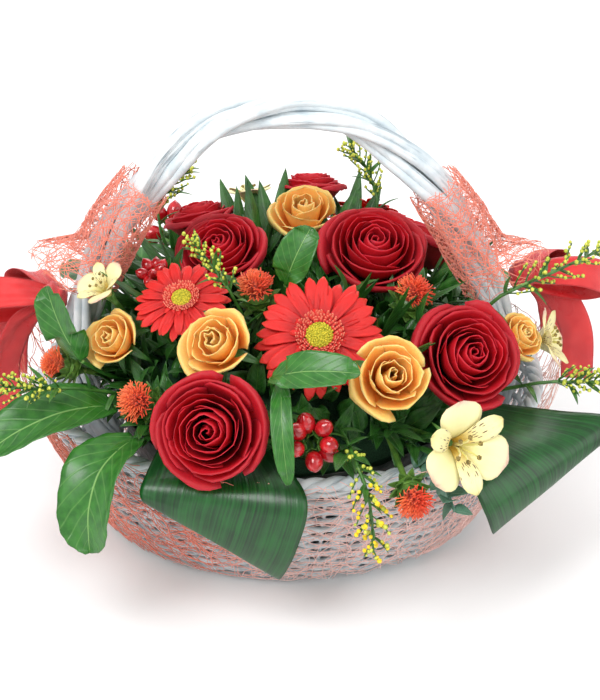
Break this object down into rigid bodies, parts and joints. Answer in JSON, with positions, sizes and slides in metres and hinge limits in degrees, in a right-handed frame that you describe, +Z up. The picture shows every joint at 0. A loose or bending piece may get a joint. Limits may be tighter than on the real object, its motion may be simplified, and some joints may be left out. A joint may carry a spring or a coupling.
{
  "type": "flower basket arrangement",
  "caption": "Oval white willow basket with a tall twisted handle, net and ribbon bows, filled with wet foam holding roses, gerberas, lilies, thistles, berries and leaves.",
  "frame": {"origin": "middle of the underside of the basket's base", "axes": "+Z up, +X to the right along the handle's plane and the longer way, -Y towards the front"},
  "size_m": [0.4202, 0.3724, 0.3021],
  "materials": {
    "white_willow": "white painted willow, satin",
    "liner_film": "dark plastic film",
    "wet_foam": "matte open-cell foam",
    "net_fibre": "coarse open fibre net, salmon pink",
    "ribbon_satin": "satin ribbon",
    "petal_red": "velvety petal",
    "petal_orange": "soft petal",
    "petal_scarlet": "soft petal",
    "petal_cream": "soft petal with dark dashes",
    "floret_amber": "fine filaments",
    "berry_skin": "glossy berry",
    "goldenrod_bud": "small matte buds",
    "leaf": "waxy leaf",
    "glossy_leaf": "glossy leaf"
  },
  "bodies": {
    "root": {"basket_base": "white_willow", "basket_rim": "white_willow", "basket_wall": "white_willow", "berries_back": "berry_skin", "berries_front": "berry_skin", "berries_left": "berry_skin", "bow_left": "ribbon_satin", "bow_right": "ribbon_satin", "foam": "wet_foam", "folded_leaf_front": "glossy_leaf", "folded_leaf_right": "glossy_leaf", "gerbera_back": "petal_scarlet", "gerbera_left": "petal_scarlet", "gerbera_middle": "petal_scarlet", "goldenrod_back": "goldenrod_bud", "goldenrod_far_right": "goldenrod_bud", "goldenrod_front": "goldenrod_bud", "goldenrod_left": "goldenrod_bud", "goldenrod_middle": "goldenrod_bud", "goldenrod_right": "goldenrod_bud", "goldenrod_top_left": "goldenrod_bud", "goldenrod_top_right": "goldenrod_bud", "handle_rod_1": "white_willow", "handle_rod_2": "white_willow", "handle_rod_3": "white_willow", "leaf_back_left": "leaf", "leaf_back_low": "leaf", "leaf_centre": "leaf", "leaf_far_left": "leaf", "leaf_front": "leaf", "leaf_low_left": "leaf", "leaf_middle_front": "leaf", "leaf_right_back": "leaf", "leaf_upper_left": "leaf", "lily_back": "petal_cream", "lily_front": "petal_cream", "lily_left": "petal_cream", "lily_right": "petal_cream", "liner": "liner_film", "net_sleeve_left": "net_fibre", "net_sleeve_right": "net_fibre", "net_wrap": "net_fibre", "orange_rose_back": "petal_orange", "orange_rose_front": "petal_orange", "orange_rose_left": "petal_orange", "orange_rose_middle": "petal_orange", "orange_rose_right": "petal_orange", "orange_rose_top": "petal_orange", "red_rose_back": "petal_red", "red_rose_back_left": "petal_red", "red_rose_back_right": "petal_red", "red_rose_front": "petal_red", "red_rose_left": "petal_red", "red_rose_right": "petal_red", "red_rose_top": "petal_red", "thistle_far_left": "floret_amber", "thistle_front": "floret_amber", "thistle_left": "floret_amber", "thistle_middle": "floret_amber", "thistle_top": "floret_amber"}
  },
  "joints": []
}
